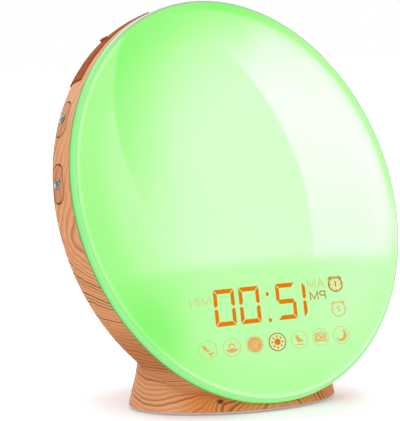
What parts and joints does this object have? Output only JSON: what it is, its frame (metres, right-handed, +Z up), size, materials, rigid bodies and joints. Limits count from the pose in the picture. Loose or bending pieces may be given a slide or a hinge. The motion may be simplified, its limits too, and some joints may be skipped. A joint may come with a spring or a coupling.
{
  "type": "sunrise alarm clock",
  "caption": "Leaning round wake-up light with a glowing translucent face and clock display, wood-grain bowl and oval pedestal, press bars and rocker keys on the rim, rear grille and USB ports.",
  "frame": {"origin": "middle of the rubber pad's face that rests on the table", "axes": "+Z up, the lit face looks towards -Y and leans back by 18 degrees, +X is the viewer's right"},
  "size_m": [0.18, 0.0767, 0.1748],
  "materials": {
    "diffuser": "milky translucent, lit from behind",
    "wood_grain": "printed wood grain, satin",
    "wood_grain_dark": "printed wood grain, darker, satin",
    "wood_grain_key": "printed wood grain, satin",
    "plate_plastic": "smooth",
    "pad_rubber": "matt",
    "zinc_screw": "zinc plated",
    "reflector_plastic": "white gloss",
    "circuit_board": "green solder mask",
    "led": "clear",
    "mask_plastic": "black",
    "lit_segment": "lit orange",
    "icon_lens": "lit",
    "chip": "moulded black",
    "port_steel": "nickel plated",
    "port_insulator": "moulded",
    "grille_plastic": "perforated, brown",
    "gasket_foam": "foam",
    "basket_steel": "pressed",
    "cone_paper": "treated paper",
    "ferrite": "sintered",
    "button_chrome": "polished",
    "ribbon_cable": "flat cable",
    "wire_insulation": "insulation",
    "aerial_insulation": "insulation"
  },
  "bodies": {
    "case": {"aerial_wire": "aerial_insulation", "anti_slip_pad": "pad_rubber", "base_plate": "plate_plastic", "base_screws": "zinc_screw", "board_chips": "chip", "coin_cell": "port_steel", "coin_cell_holder": "mask_plastic", "digit_block": "mask_plastic", "digit_segments": "lit_segment", "display_board": "circuit_board", "display_ribbon": "ribbon_cable", "front_cover": "diffuser", "housing_shell": "wood_grain", "icon_box": "mask_plastic", "icon_lenses": "icon_lens", "indicator_left": "mask_plastic", "indicator_right": "mask_plastic", "key_board_lamp": "circuit_board", "key_board_left_lower": "circuit_board", "key_board_left_upper": "circuit_board", "key_board_right_lower": "circuit_board", "key_board_right_upper": "circuit_board", "key_board_snooze": "circuit_board", "key_board_top": "circuit_board", "key_harness_left": "wire_insulation", "key_harness_right": "wire_insulation", "key_switches": "chip", "light_board": "circuit_board", "light_leds": "led", "light_ribbon": "ribbon_cable", "main_board": "circuit_board", "main_board_screws": "zinc_screw", "micro_usb_port": "port_steel", "micro_usb_tongue": "port_insulator", "port_board": "circuit_board", "port_board_screws": "zinc_screw", "port_leads": "wire_insulation", "reflector_plate": "reflector_plastic", "reflector_screws": "zinc_screw", "speaker_basket": "basket_steel", "speaker_cone": "cone_paper", "speaker_gasket": "gasket_foam", "speaker_grille": "grille_plastic", "speaker_leads": "wire_insulation", "speaker_magnet": "ferrite", "speaker_screws": "zinc_screw", "usb_a_port": "port_steel", "usb_a_tongue": "port_insulator"},
    "rocker_left_upper": {"rocker_left_upper": "wood_grain_key"},
    "button_left_upper": {"button_left_upper": "button_chrome"},
    "rocker_left_lower": {"rocker_left_lower": "wood_grain_key"},
    "button_left_lower": {"button_left_lower": "button_chrome"},
    "rocker_right_upper": {"rocker_right_upper": "wood_grain_key"},
    "button_right_upper": {"button_right_upper": "button_chrome"},
    "rocker_right_lower": {"rocker_right_lower": "wood_grain_key"},
    "button_right_lower": {"button_right_lower": "button_chrome"},
    "rocker_top": {"rocker_top": "wood_grain_key"},
    "button_top": {"button_top": "button_chrome"},
    "snooze_bar": {"snooze_bar": "wood_grain_dark"},
    "lamp_bar": {"lamp_bar": "wood_grain_dark"}
  },
  "joints": [
    {"name": "rocker_left_upper_tip", "type": "hinge", "parent": "case", "child": "rocker_left_upper", "pos_m": [-0.07641, 0.01682, 0.12421], "axis": [0, -0.9511, 0.309], "range_deg": [-3.5, 3.5], "stiffness_Nm_per_rad": 0.05},
    {"name": "button_left_upper_press", "type": "slide", "parent": "case", "child": "button_left_upper", "axis": [0.8854, -0.1436, -0.4421], "range_m": [0, 0.0004], "stiffness_N_per_m": 400},
    {"name": "rocker_left_lower_tip", "type": "hinge", "parent": "case", "child": "rocker_left_lower", "pos_m": [-0.08524, 0.00859, 0.09889], "axis": [0, -0.9511, 0.309], "range_deg": [-3.5, 3.5], "stiffness_Nm_per_rad": 0.05},
    {"name": "button_left_lower_press", "type": "slide", "parent": "case", "child": "button_left_lower", "axis": [0.9877, -0.0483, -0.1488], "range_m": [0, 0.0004], "stiffness_N_per_m": 400},
    {"name": "rocker_right_upper_tip", "type": "hinge", "parent": "case", "child": "rocker_right_upper", "pos_m": [0.07641, 0.01682, 0.12421], "axis": [0, -0.9511, 0.309], "range_deg": [-3.5, 3.5], "stiffness_Nm_per_rad": 0.05},
    {"name": "button_right_upper_press", "type": "slide", "parent": "case", "child": "button_right_upper", "axis": [-0.8854, -0.1436, -0.4421], "range_m": [0, 0.0004], "stiffness_N_per_m": 400},
    {"name": "rocker_right_lower_tip", "type": "hinge", "parent": "case", "child": "rocker_right_lower", "pos_m": [0.08524, 0.00859, 0.09889], "axis": [0, -0.9511, 0.309], "range_deg": [-3.5, 3.5], "stiffness_Nm_per_rad": 0.05},
    {"name": "button_right_lower_press", "type": "slide", "parent": "case", "child": "button_right_lower", "axis": [-0.9877, -0.0483, -0.1488], "range_m": [0, 0.0004], "stiffness_N_per_m": 400},
    {"name": "rocker_top_tip", "type": "hinge", "parent": "case", "child": "rocker_top", "pos_m": [0, 0.03109, 0.16813], "axis": [0, -0.9511, 0.309], "range_deg": [-3.5, 3.5], "stiffness_Nm_per_rad": 0.05},
    {"name": "button_top_press", "type": "slide", "parent": "case", "child": "button_top", "axis": [0, -0.309, -0.9511], "range_m": [0, 0.0004], "stiffness_N_per_m": 400},
    {"name": "snooze_bar_press", "type": "slide", "parent": "case", "child": "snooze_bar", "axis": [0.5446, -0.2592, -0.7976], "range_m": [0, 0.0004], "stiffness_N_per_m": 600},
    {"name": "lamp_bar_press", "type": "slide", "parent": "case", "child": "lamp_bar", "axis": [-0.5446, -0.2592, -0.7976], "range_m": [0, 0.0004], "stiffness_N_per_m": 600}
  ]
}
